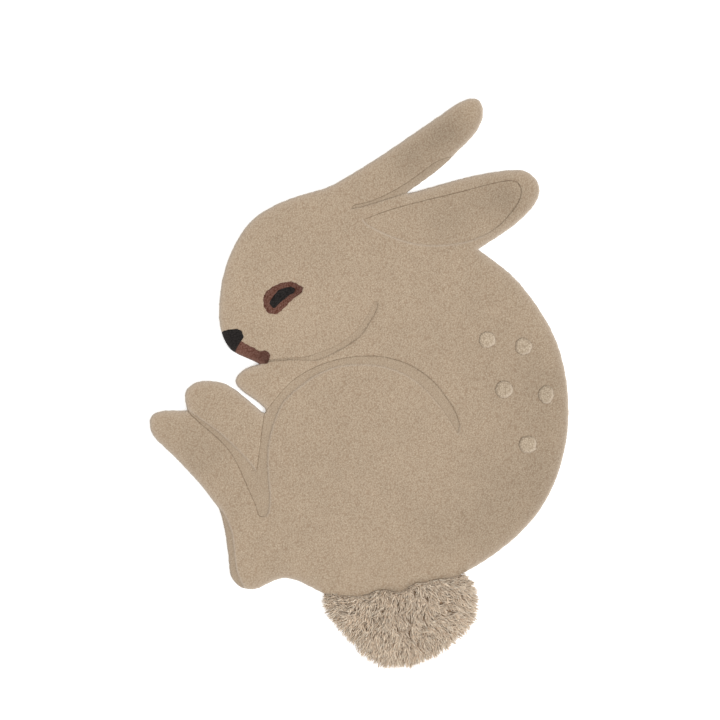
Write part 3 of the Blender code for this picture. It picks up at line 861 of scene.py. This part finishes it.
@dataclass
class Carpet:
    """The cut pile: one fine net over the rabbit, cut into patches that share their edges."""

    pitch: float = 1.8 * MM
    reach: float = 26 * MM
    near: float = 9 * MM
    dome: float = 7 * MM
    rim_inset: float = 0.5 * MM
    rim_width: float = 5.5 * MM
    rim_drop: float = 3.8 * MM
    seam_width: float = 15 * MM
    seam_drop: float = 3.2 * MM
    rim_ragged: float = 0.6 * MM
    rim_wave: float = 7 * MM
    tuft_ragged: float = 1.3 * MM
    tuft_wave: float = 4.5 * MM
    carved_wall: float = 1.6 * MM
    carved_shoulder: float = 0.7 * MM
    seam_groove: float = 0.6 * MM
    dot_groove: float = 0.4 * MM
    dot_rise: float = 3.0 * MM
    grain: float = 0.32 * MM
    swell: float = 0.35 * MM
    seed: int = 5

    # Strength of the fine painted shade line beside a carved area: its mean, its swing with the wall's side,
    # its least; beside a dot, its mean and swing
    CARVED_LINE = (0.42, 0.33, 0.12)
    DOT_LINE = (0.30, 0.24)
    # Painted highlight, a pale strip of open tufts along an edge: how far from the edge its middle is, its
    # width, its strength
    CARVED_STRIP = (1.5 * MM, 2.1 * MM, 0.65)
    DOT_STRIP = (1.5 * MM, 3 * MM, 0.5)
    # Directions of the walls that lie in shade: round the dots, at the feet, and elsewhere
    DOT_SIDE = (0.82, -0.57)
    FOOT_SIDE = (0.95, 0.3)
    LINE_SIDE = (0.3, -0.95)

    ROWS = (WallRow(0.7 * MM, 0.72), WallRow(0.5 * MM, 0.36), WallRow(0, 0))

    def __post_init__(self) -> None:
        """Draw the outlines and lay out the net, its depths and its heights."""
        drawn = Outline.through(FREE_EDGE[:-1] + TAIL_SEAM[:-1]).moved(-self.rim_inset)
        self.outline = drawn.ragged(self.rim_ragged, self.rim_wave, 1)
        self.seam = Outline.through(TAIL_SEAM, closed=False)
        self.net, self.depth, self.rim = Net.within(self.outline, self.pitch, 2 * self.pitch,
                                                    self.reach, self.seed)
        self.pinned = self.rim.copy()
        count = len(self.net.places)
        self.tops, self.cut_gap = np.full(count, PILE_TOP), np.full(count, self.near)
        self.tone, self.nap = np.ones(count), np.ones(count)
        self.open, self.ink, self.shorn = np.zeros(count), np.zeros(count), np.zeros(count)

    def trace(self, outline: Outline) -> tuple[Array, Array, Array]:
        """Lay the net's nearest places on an outline.

        Returns:
            How deep each place lies inside it, which triangles do, and the level directions to the
            places from the outline's nearest points.
        """
        depth, feet = outline.depth(self.net.places, self.near)
        within = self.net.mean(depth) > 0
        aside = unit(self.net.places - feet)
        border = self.net.border(within)
        border = border[~self.pinned[border] & (np.abs(depth[border]) < self.pitch)]
        self.net.places[border] = feet[border]
        self.pinned[border] = True
        depth[border] = 0
        return depth, within, aside

    def facing(self, outline: Outline, depth: Array, aside: Array, toward: Array) -> Array:
        """How far the wall nearest to each place faces a direction, from 1 to -1.

        Args:
            outline: The wall's line.
            depth: How deep each place lies inside it.
            aside: Level direction to each place from the nearest point of the line.
            toward: The direction, or one for each place.
        """
        edge = np.flatnonzero(self.pinned & (depth == 0))
        aside[edge] = unit(outline.moved(-2 * MM).nearest(self.net.places[edge])[1] - self.net.places[edge])
        return np.clip((aside * toward).sum(axis=1), -1, 1) * np.where(depth < 0, -1, 1)

    def shade_direction(self) -> Array:
        """Direction of the walls that lie in shade at each place, blended between the feet and the rest."""
        share = smoothstep((self.net.places[:, :1] + 200 * MM) / (70 * MM))
        return (1 - share) * self.FOOT_SIDE + share * self.LINE_SIDE

    def paint_shade_line(self, depth: Array, ink: Array) -> None:
        """Leave a fine painted shade line for the finish to draw where the depth is nought."""
        nearer = np.abs(depth) < self.cut_gap
        self.cut_gap[nearer] = np.abs(depth[nearer])
        # Painted shade line, darkest on the walls that lie in shade
        self.ink[nearer] = (ink * (0.8 + 0.3 * Relief(6 * MM, 38).at(self.net.places)))[nearer]

    def carve(self, area: CarvedArea) -> None:
        """Shear an area lower, with a steep wall and a soft shoulder, and shade it.

        The shorn floor is painted a little darker, as painted shade, and is smoother. Walls that lie in shade
        get a fine painted shade line, and the tufts behind the walls that face the other way stand open in a
        painted highlight.
        """
        outline = Outline.through(area.nodes).ragged(self.tuft_ragged / 3, self.tuft_wave, 2)
        depth, _, aside = self.trace(outline)
        inside = smoothstep(0.5 + depth / self.carved_wall)
        shoulder = bell(depth, 4.5 * MM) * (1 - inside)
        self.tops -= (PILE_TOP - area.floor) * inside + self.carved_shoulder * shoulder
        toward = self.shade_direction() if area.toward is None else np.array(area.toward)
        facing = self.facing(outline, depth, aside, toward)
        mean, swing, least = self.CARVED_LINE
        # Painted shade line along the carved edge, darkest on the walls that lie in shade
        self.paint_shade_line(depth, area.line * np.maximum(mean + swing * facing, least))
        self.shorn = np.maximum(self.shorn, inside)
        # Painted shade on the shorn floor
        self.tone -= area.shade * inside
        # Painted highlight of open tufts behind the walls that face away from the shade
        middle, width, strength = self.CARVED_STRIP
        self.open += strength * np.clip(-facing, 0, 1) * (bell(depth + middle, width) * (1 - inside))
        self.nap -= area.smooth * inside

    def inlay(self, nodes: tuple[Node, ...], seed: int) -> Array:
        """Mark off an area of other yarn by a fine seam, and return the triangles in it."""
        depth, within, _ = self.trace(Outline.through(nodes).ragged(self.tuft_ragged, self.tuft_wave, seed))
        groove = bell(depth, 0.7 * self.pitch)
        self.tops -= self.seam_groove * groove
        # Painted shade in the fine groove round an inlaid area
        self.tone -= 0.08 * groove
        return within

    def raise_dot(self, dot: Dot, seed: int) -> Array:
        """Raise a round tuft with a flat dome, ring it with a groove, and return its triangles."""
        outline = Outline.oval(dot, seed).ragged(self.tuft_ragged, self.tuft_wave, seed)
        depth, within, aside = self.trace(outline)
        self.tops += self.dot_rise * np.where(depth > 0, quarter_round(depth, self.dome), 0)
        self.tops -= self.dot_groove * bell(depth, 0.85 * self.pitch)
        facing = self.facing(outline, depth, aside, np.array(self.DOT_SIDE))
        mean, swing = self.DOT_LINE
        # Painted shade line round the dot, darkest on its shaded side
        self.paint_shade_line(depth, mean + swing * facing)
        # Painted highlight of open tufts on the dot's other side
        middle, width, strength = self.DOT_STRIP
        self.open += strength * np.clip(-facing, 0, 1) * bell(depth - middle, width) * (depth > -1 * MM)
        self.nap += 0.35 * (depth > 0)
        return within

    def spot_tone(self, spots: tuple[ToneSpot, ...], within: Array) -> None:
        """Make soft spots of some triangles paler or darker, each fading outwards like a bell."""
        chosen = np.unique(self.net.triangles[within])
        for spot in spots:
            gap = np.hypot(*(self.net.places[chosen] / MM - (spot.x, spot.y)).T)
            self.tone[chosen] += spot.amount * bell(gap, spot.radius)

    def relieve(self) -> None:
        """Round the rim over, and add the tufts' own grain and the slow swell of the pile.

        The rim falls along a quarter of an ellipse, and wider and less along the tail's seam. The
        tufts at the rim stand open and show their pale sides, partly a painted highlight, and those at the
        seam lie in painted shade.
        """
        places = self.net.places
        close = self.depth < self.reach
        seam_gap = np.full(len(places), self.reach)
        seam_gap[close] = self.seam.nearest(places[close])[0]
        free = smoothstep((seam_gap - self.depth) / (8 * MM))
        rim = self.rim_drop * (1 - quarter_round(self.depth, self.rim_width))
        seam = self.seam_drop * (1 - quarter_round(self.depth, self.seam_width))
        self.tops -= (free * rim + (1 - free) * seam) * (self.tops - SILL) / (PILE_TOP - SILL)
        fine, coarse = Relief(2.9 * MM, 31).at(places), Relief(6.5 * MM, 32).at(places)
        self.tops += self.grain * (0.75 * fine + 0.45 * coarse)
        self.tops += self.swell * (Relief(38 * MM, 33).at(places) + 0.6 * Relief(15 * MM, 34).at(places))
        # Painted highlight of open tufts along the free rim, partly their real pale sides
        opened = 0.85 * np.exp(-self.depth / (4.5 * MM)) + 0.10 * np.exp(-self.depth / (14 * MM))
        self.open += free * opened * (1 - 0.6 * self.shorn)
        self.tone += 0.018 * Relief(85 * MM, 35).at(places) + 0.018 * Relief(14 * MM, 36).at(places)
        self.spot_tone(TONE_SPOTS, np.ones(len(self.net.triangles), dtype=bool))
        shade = bell(seam_gap, 9 * MM) * (0.75 + 0.45 * Relief(13 * MM, 37).at(places))
        self.tone -= 0.25 * shade * smoothstep((places[:, 0] + 70 * MM) / (150 * MM))

    def build(self) -> list[bpy.types.Object]:
        """Carve, inlay and raise the areas, then cut the net into its patches."""
        for area in CARVED_AREAS:
            self.carve(area)
        eye, pupil = self.inlay(EYE_RING, 11), self.inlay(PUPIL, 12)
        nose, mouth = self.inlay(NOSE, 13), self.inlay(MOUTH, 14)
        self.spot_tone(EYE_SPOTS, eye & ~pupil)
        self.spot_tone(MOUTH_SPOTS, mouth & ~nose)
        dots = [self.raise_dot(dot, 20 + number) for number, dot in enumerate(DOTS)]
        head, haunch = (self.net.mean(Outline.through(join).depth(self.net.places, self.near)[0]) > 0
                        for join in (HEAD_JOIN, HAUNCH_JOIN))
        self.relieve()
        areas = [("pupil", "pupil", Yarn.BLACK, pupil), ("eye_ring", "eye_ring", Yarn.BROWN, eye),
                 ("nose", "nose", Yarn.BLACK, nose), ("mouth", "mouth", Yarn.BROWN, mouth)]
        areas += [(f"dot_{number}", f"dot_{number}", Yarn.PALE, dot) for number, dot in enumerate(dots, 1)]
        areas += [("head", "rug_field", Yarn.BEIGE, head), ("haunch", "rug_field", Yarn.BEIGE, haunch),
                  ("back", "rug_field", Yarn.BEIGE, np.ones_like(head))]
        self.finishes = {yarn: yarn.finish.material() for yarn in Yarn}
        free = np.ones(len(self.net.triangles), dtype=bool)
        pieces = []
        for name, replaced, yarn, within in areas:
            pieces.append(self.cut(Patch(f"{name}_pile", yarn, replaced), within & free))
            free &= ~within
        return pieces

    def cut(self, patch: Patch, chosen: Array) -> bpy.types.Object:
        """Make one patch of the net a closed piece, standing on the backing."""
        net, numbers = self.net.kept(chosen)
        points, triangles = slab(net, self.tops[numbers], SILL, self.ROWS, self.rim[numbers].astype(float))
        piece = new_piece(patch.name, points, triangles, (patch.replaces,))
        # Painted light rides on these coats: a painted highlight of open tufts, a painted shade line, and
        # painted shade within the tone
        coats = {"tone": (self.tone, 1.0), "nap": (self.nap, 1.0), "open": (self.open, 0.7),
                 "cut": (self.cut_gap, self.near), "ink": (self.ink, 0.0)}
        for name, (values, wall) in coats.items():
            painted = np.full(len(points), wall)
            painted[:len(numbers)] = values[numbers]
            paint(piece, name, painted)
        dress(piece, self.finishes[patch.yarn])
        return piece


@dataclass
class Backing:
    """The woven backing: one flat sheet under the whole pile, with a tongue under the tail."""

    inset: float = 1.2 * MM

    ROWS = (WallRow(0, 0),)

    def build(self) -> tuple[bpy.types.Object, float]:
        """Make the sheet.

        Returns:
            The piece, and its flat area in square metres.
        """
        outline = Outline.through(FREE_EDGE + TONGUE_EDGE).moved(-self.inset)
        net = Net.filling(outline)
        count = len(net.places)
        points, triangles = slab(net, np.full(count, BACKING_TOP), 0, self.ROWS, np.zeros(count))
        piece = new_piece("backing", points, triangles, ("rug_field",), sharp=40)
        dress(piece, WovenBacking("cotton_backing", (0.40, 0.34, 0.25)).material())
        return piece, abs(outline.area())


@dataclass
class Locks:
    """Tapered locks of yarn, each a closed tube along its own line, joined into one mesh."""

    sides: int = 4

    def mesh(self, lines: Array, sidewise: Array, radii: Array) -> tuple[Array, Array, Array]:
        """Tubes round lines.

        Args:
            lines: Rows of points, one row a lock, from root to tip, with three numbers a point.
            sidewise: Level direction across each lock.
            radii: Radius at each point but the tip.

        Returns:
            Points, triangles, and the lock map's two numbers at each triangle's corners.
        """
        count, stations = lines.shape[:2]
        tangent = unit(np.gradient(lines, axis=1))
        across = np.broadcast_to(sidewise[:, None], tangent.shape)
        above = np.cross(tangent, across)
        turn = 2 * math.pi * np.arange(self.sides) / self.sides
        ring = (across[:, :-1, None] * np.cos(turn)[:, None] + above[:, :-1, None] * np.sin(turn)[:, None])
        tube = lines[:, :-1, None] + ring * radii[..., None, None]
        points = np.concatenate((tube.reshape(count, -1, 3), lines[:, -1:]), axis=1)
        j, i = np.mgrid[0:stations - 2, 0:self.sides]
        here, beside = j * self.sides + i, j * self.sides + (i + 1) % self.sides
        ahead, beyond = here + self.sides, beside + self.sides
        last = (stations - 2) * self.sides
        rim = np.arange(self.sides)
        tip = np.full(self.sides, (stations - 1) * self.sides)
        fan = rim[1:-1]
        pattern = np.concatenate((
            np.stack((here, beside, beyond), axis=-1).reshape(-1, 3),
            np.stack((here, beyond, ahead), axis=-1).reshape(-1, 3),
            np.column_stack((last + rim, last + (rim + 1) % self.sides, tip)),
            np.column_stack((np.zeros_like(fan), fan + 1, fan))))
        size = points.shape[1]
        triangles = (pattern + size * np.arange(count)[:, None, None]).reshape(-1, 3)
        station = np.append(np.repeat(np.arange(stations - 1), self.sides), stations - 1)
        around = np.append(np.tile(np.arange(self.sides), stations - 1), 0)
        corners = np.stack((around[pattern] * 2.4 + 9.7 * np.arange(count)[:, None, None],
                            np.broadcast_to(station[pattern] * 0.9, (count, *pattern.shape))), axis=-1)
        return points.reshape(-1, 3), triangles, corners.reshape(-1, 2)

    def piece(self, name: str, lines: Array, sidewise: Array, radii: Array, tone: Array, slot: str,
              replaces: tuple[str, ...] = (), shades: tuple[float, ...] = (0, 1, 1)) -> bpy.types.Object:
        """One piece of many locks, with its tone, its painted shade from root to tip and its lock map."""
        points, triangles, corners = self.mesh(lines, sidewise, radii)
        made = new_piece(name, points, triangles, replaces, sharp=None)
        count = len(lines)
        along = np.append(np.repeat(shades[:-1], self.sides), shades[-1])
        paint(made, "along", (np.random.default_rng(count).uniform(0.5, 1, count)[:, None] * along).ravel())
        paint(made, "tone", np.repeat(tone, len(along)))
        layer = made.data.uv_layers.new(name="lock")
        layer.uv.foreach_set("vector", corners.astype(np.float32).ravel())
        return made


@dataclass
class ShagTail:
    """The tail: a lumpy mound on the backing's tongue, and curling locks of long yarn all over it."""

    pitch: float = 2.6 * MM
    run: tuple[float, float] = (14 * MM, 26 * MM)
    radius: tuple[float, float] = (0.85 * MM, 1.3 * MM)
    crown: tuple[float, float] = (82 * MM, -408 * MM)
    mound: float = 20 * MM
    mound_pitch: float = 4 * MM
    rim_height: float = 4.5 * MM
    seam_height: float = 12.5 * MM
    shoulder: float = 42 * MM
    root_depth: float = 9 * MM
    clump: float = 9 * MM
    seed: int = 8

    ROWS = (WallRow(0, 0.5), WallRow(0, 0))
    WAY = np.array((0, 0.22, 0.42, 0.62, 0.82, 1))
    SHADES = (0.0, 0.4, 0.75, 0.9, 0.97, 1.0)
    GIRTHS = (0.75, 0.95, 1.0, 0.9, 0.6)
    SHORTER = (1, 0.75, 0.5, 0.3, 0.12)

    def __post_init__(self) -> None:
        """Draw the reach of the shag and the seam that it adjoins."""
        self.seam = Outline.through(TAIL_SEAM, closed=False)
        self.edge = Outline.through(TAIL_EDGE, closed=False)
        self.reach = Outline(np.concatenate((self.edge.points, self.seam.points[1:-1])))

    def heights(self, places: Array) -> Array:
        """Height of the yarn tips: it rises from the free rim like a quarter of an ellipse, and from
        the seam in a soft blend, with lumps."""
        from_rim, _ = self.edge.nearest(places)
        from_seam, _ = self.seam.nearest(places)
        rise = quarter_round(from_rim, self.shoulder)
        top = self.seam_height + (self.mound - self.seam_height) * smoothstep(from_seam / self.shoulder)
        lumps = 1.8 * MM * Relief(24 * MM, 41).at(places) + 1.2 * MM * Relief(10 * MM, 42).at(places)
        return self.rim_height + rise * (top + lumps - self.rim_height)

    def build(self, finish: ShagYarn) -> list[bpy.types.Object]:
        """Make the mound and the two lots of locks."""
        material = finish.material()
        pieces = [self.base(material)]
        lines, sidewise, radii, tone = self.locks()
        over = np.random.default_rng(self.seed + 1).random(len(lines)) < 0.5
        for name, part in (("tail_locks_under", ~over), ("tail_locks_over", over)):
            pieces.append(Locks().piece(name, lines[part], sidewise[part], radii[part], tone[part],
                                        "beige_shag", ("tail",), self.SHADES))
            dress(pieces[-1], material)
        return pieces

    def base(self, material: bpy.types.Material) -> bpy.types.Object:
        """The mound that the locks stand on, drawn in from their free rim."""
        from_seam, _ = self.seam.nearest(self.reach.points)
        outline = self.reach.moved(-0.1 * MM - 11 * MM * smoothstep(from_seam / (14 * MM)))
        net, _, _ = Net.within(outline, self.mound_pitch, self.mound_pitch, 30 * MM, 4)
        sunk = self.root_depth * (0.25 + 0.4 * smoothstep(self.seam.nearest(net.places)[0] / (12 * MM)))
        tops = np.maximum(self.heights(net.places) - sunk, SILL + 1 * MM)
        points, triangles = slab(net, tops, SILL, self.ROWS, np.zeros(len(tops)))
        piece = new_piece("tail_mound", points, triangles, ("tail",))
        beside = bell(self.seam.nearest(points[:, :2])[0], 5 * MM)
        # The mound is painted in the root's painted shade colour, paler beside the seam
        paint(piece, "tone", 0.86 + 0.06 * beside)
        paint(piece, "along", 0.1 + 0.5 * beside)
        piece.data.uv_layers.new(name="lock")
        dress(piece, material)
        return piece

    def clumps(self, tips: Array) -> Array:
        """Number of the clump that each tip belongs to: uneven square cells."""
        warp = np.column_stack([Relief(7 * MM, seed).at(tips) for seed in (47, 48)])
        cell = np.floor((tips + 3 * MM * warp) / self.clump).astype(int)
        return np.unique(cell, axis=0, return_inverse=True)[1].ravel()

    def locks(self) -> tuple[Array, Array, Array, Array]:
        """Lines, cross directions, radii and tones of all locks.

        The tips are spread over the whole reach, and each root lies back along the lock's heading,
        never past the reach. A lock rises from its root and bends over to its tip along a curve with
        one control point. The tips of a clump draw together and share a heading, so that darker gaps
        open between clumps. At the free rim all locks point outwards, in the middle they curl.
        """
        rng = np.random.default_rng(self.seed)
        low, high = self.reach.points.min(axis=0), self.reach.points.max(axis=0)
        tips = Net.over(low - self.pitch, high + self.pitch, self.pitch, self.seed).places
        tips += rng.uniform(-0.3, 0.3, tips.shape) * self.pitch
        depth, _ = self.reach.depth(tips, 60 * MM)
        at_seam = self.seam.nearest(tips)[0] < 6 * MM
        stray = 2.2 * MM * Relief(9 * MM, 49).at(tips) * at_seam
        fringe = rng.random(len(tips)) * np.where(at_seam, 2.8, 4.7) - np.where(at_seam, 2.4, 4.5)
        tips = tips[depth > fringe * MM + stray]
        count = len(tips)
        clump = self.clumps(tips)
        lots = clump.max() + 1
        mean = np.column_stack([np.bincount(clump, tips[:, side]) for side in (0, 1)])
        mean /= np.bincount(clump)[:, None]
        from_rim, _ = self.edge.nearest(tips)
        middle = smoothstep((from_rim - 6 * MM) / (42 * MM))
        away = tips - np.array(self.crown)
        near_seam = bell(self.seam.nearest(tips)[0], 9 * MM)
        heading = np.arctan2(away[:, 1], away[:, 0]) + (0.16 + 0.35 * near_seam) * rng.normal(0, 1, count)
        heading += (0.22 + 0.45 * middle) * rng.uniform(-1, 1, lots)[clump]
        heading += (0.2 + 0.6 * middle) * Relief(34 * MM, 43).at(tips)
        ahead = np.column_stack((np.cos(heading), np.sin(heading)))
        across = np.column_stack((-ahead[:, 1], ahead[:, 0]))
        run = rng.uniform(*self.run, count) * (1.0 - 0.25 * middle)
        roots = self.roots(tips, ahead, run)
        tips = tips + 0.06 * (mean[clump] - tips)
        spread = (1.5 * MM * rng.normal(0, 1, lots)[clump] + rng.normal(0, 0.8 * MM, count)) * (1 - middle)
        tips += ahead * np.minimum(spread, 4 * MM)[:, None]
        reached = np.linalg.norm(tips - roots, axis=1)
        bow = rng.normal(0, 0.12, count) + (0.1 + 0.25 * middle) * rng.uniform(-1, 1, lots)[clump]
        control = roots + (0.42 * (tips - roots)) + across * (bow * reached)[:, None]
        lift = rng.normal(0, 2.3 * MM, count) + 0.5 * MM * rng.normal(0, 1, lots)[clump]
        tip_height = np.maximum(self.heights(tips) + lift, 1.6 * MM)
        root_height = np.maximum(self.heights(roots) - self.root_depth, 3.4 * MM)
        arch = np.maximum(tip_height, root_height + 2 * MM) + rng.uniform(0.5, 3.5, count) * MM
        corners = [np.column_stack((flat, height)) for flat, height in
                   ((roots, root_height), (control, arch), (tips, tip_height))]
        t = self.WAY[:, None]
        weights = ((1 - t) ** 2, 2 * t * (1 - t), t ** 2)
        lines = sum(weight * corner[:, None] for weight, corner in zip(weights, corners))
        radii = rng.uniform(*self.radius, count)[:, None] * np.array(self.GIRTHS)
        lines[..., 2] = np.maximum(lines[..., 2], 1.6 * MM)
        tone = 1 + rng.normal(0, 0.12, count) + rng.normal(0, 0.02, lots)[clump]
        # Locks near the seam get painted shade
        tone += 0.02 * Relief(30 * MM, 46).at(tips) - 0.12 * near_seam
        return lines, np.column_stack((across, np.zeros(count))), radii, tone

    def roots(self, tips: Array, ahead: Array, run: Array) -> Array:
        """Root of each lock: the furthest back along its heading that still lies well inside."""
        found = tips.copy()
        settled = np.zeros(len(tips), dtype=bool)
        for share in self.SHORTER:
            place = tips - ahead * (share * run)[:, None]
            well = ~settled & (self.reach.depth(place, 6 * MM)[0] > 2 * MM)
            found[well] = place[well]
            settled |= well
        found[~settled] = self.reach.moved(-3 * MM).nearest(tips[~settled])[1]
        return found


@dataclass
class RimTufts:
    """Short tufts that stand out of the pile's wall along the rug's free edge."""

    pitch: float = 1.7 * MM
    length: tuple[float, float] = (2.4 * MM, 4.2 * MM)
    radius: float = 0.85 * MM
    seed: int = 9

    LEVELS = (4.6 * MM, 6.6 * MM, 8.4 * MM)

    def build(self, outline: Outline, finishes: dict[Yarn, bpy.types.Material]) -> list[bpy.types.Object]:
        """Tufts at every step round the outline, in the yarn of the area that they stand on."""
        rng = np.random.default_rng(self.seed)
        a, b = outline.ends()
        reached = np.append(0, np.cumsum(np.linalg.norm(b - a, axis=1)))
        ring = np.vstack((outline.points, outline.points[:1]))
        normals = np.vstack((outline.normals(), outline.normals()[:1]))
        levels = np.tile(self.LEVELS, int(reached[-1] / self.pitch))
        at = rng.uniform(0, reached[-1], len(levels))
        place = np.column_stack([np.interp(at, reached, ring[:, side]) for side in (0, 1)])
        out = unit(np.column_stack([np.interp(at, reached, normals[:, side]) for side in (0, 1)]))
        seam, _ = Outline.through(TAIL_SEAM, closed=False).nearest(place)
        free = seam > 3 * MM
        place, out, levels = place[free], out[free], levels[free]
        swing = rng.normal(0, 0.5, len(place))[:, None]
        ahead = unit(out + swing * np.column_stack((-out[:, 1], out[:, 0])))
        length = rng.uniform(*self.length, len(place))
        rise = rng.uniform(0.15, 0.9, len(place))
        t = np.array((0, 0.55, 1))
        run = length[:, None] * t * 0.8
        flat = (place - out * 1.9 * MM)[:, None] + ahead[:, None] * run[..., None]
        height = levels[:, None] + (length * rise)[:, None] * t ** 1.2
        lines = np.concatenate((flat, height[..., None]), axis=-1)
        sidewise = np.column_stack((-ahead[:, 1], ahead[:, 0], np.zeros(len(place))))
        radii = np.full((len(place), 2), self.radius) * (1.0, 0.85)
        tone = 1 + rng.normal(0, 0.06, len(place))
        nose = Outline.through(NOSE).inside(place)
        mouth = Outline.through(MOUTH).inside(place) & ~nose
        pieces = []
        for yarn, part in ((Yarn.BLACK, nose), (Yarn.BROWN, mouth), (Yarn.BEIGE, ~nose & ~mouth)):
            name = f"rim_tufts_{yarn.name.lower()}"
            pieces.append(Locks().piece(name, lines[part], sidewise[part], radii[part], tone[part],
                                        yarn.slot))
            # Rim tufts take the painted highlight of open tufts
            for attribute, value in (("nap", 1.0), ("open", 0.75), ("cut", 1.0)):
                paint(pieces[-1], attribute, np.full(len(pieces[-1].data.vertices), value))
            dress(pieces[-1], finishes[yarn])
        return pieces


@dataclass
class Studio:
    """Plain pale floor, soft light from the right, and the camera straight above."""

    view_width: float = 1.512
    middle: tuple[float, float] = (0.0021, 0.0515)
    lens: float = 135.0
    sensor: float = 36.0
    floor_size: float = 30.0

    def build(self) -> bpy.types.Object:
        """Make the floor, the lights and the camera, and return the floor."""
        scene = bpy.context.scene
        scene.view_settings.view_transform = "Standard"
        mesh = bpy.data.meshes.new("studio_floor")
        half = self.floor_size / 2
        corners = [(-half, -half, 0), (half, -half, 0), (half, half, 0), (-half, half, 0)]
        mesh.from_pydata(corners, [], [(0, 1, 2, 3)])
        floor = bpy.data.objects.new("studio_floor", mesh)
        scene.collection.objects.link(floor)
        sheet = NodeSheet("studio_floor", {"Base Color": (0.93, 0.93, 0.93, 1), "Roughness": 0.9,
                                           "Specular IOR Level": 0.1, "Emission Color": (1, 1, 1, 1),
                                           "Emission Strength": 0.4})
        dress(floor, sheet.material)
        self.sun("key_light", 1.3, 24, (42, 0, 70))
        world = bpy.data.worlds.new("studio_world")
        world.use_nodes = True
        world.node_tree.nodes["Background"].inputs["Color"].default_value = (1, 1, 1, 1)
        world.node_tree.nodes["Background"].inputs["Strength"].default_value = 0.84
        scene.world = world
        self.camera()
        return floor

    def sun(self, name: str, strength: float, softness: float, turn: tuple[float, float, float]) -> None:
        """A distant lamp: its strength, the angle that it fills in degrees, and its rotation in degrees."""
        lamp = bpy.data.lights.new(name, "SUN")
        lamp.energy = strength
        lamp.angle = math.radians(softness)
        holder = bpy.data.objects.new(name, lamp)
        holder.rotation_euler = [math.radians(angle) for angle in turn]
        bpy.context.scene.collection.objects.link(holder)

    def camera(self) -> None:
        """Long lens straight above, at the distance where the view is as wide as the photograph's."""
        data = bpy.data.cameras.new("camera")
        data.sensor_width = self.sensor
        data.lens = self.lens
        data.clip_end = 100
        holder = bpy.data.objects.new("camera", data)
        distance = self.view_width / self.sensor * self.lens
        holder.location = (*self.middle, PILE_TOP + distance)
        bpy.context.scene.collection.objects.link(holder)
        bpy.context.scene.camera = holder


def main() -> None:
    logging.basicConfig(level=logging.INFO, format="%(name)s: %(message)s")
    floor = Studio().build()
    carpet = Carpet()
    pieces = carpet.build()
    pieces += RimTufts().build(carpet.outline, carpet.finishes)
    shag = ShagYarn("beige_shag_yarn", (0.79, 0.69, 0.557), (0.44, 0.28, 0.165))
    pieces += ShagTail().build(shag)
    backing, area = Backing().build()
    LOG.info("sheet area %.3f square metres", area)


if __name__ == "__main__":
    main()
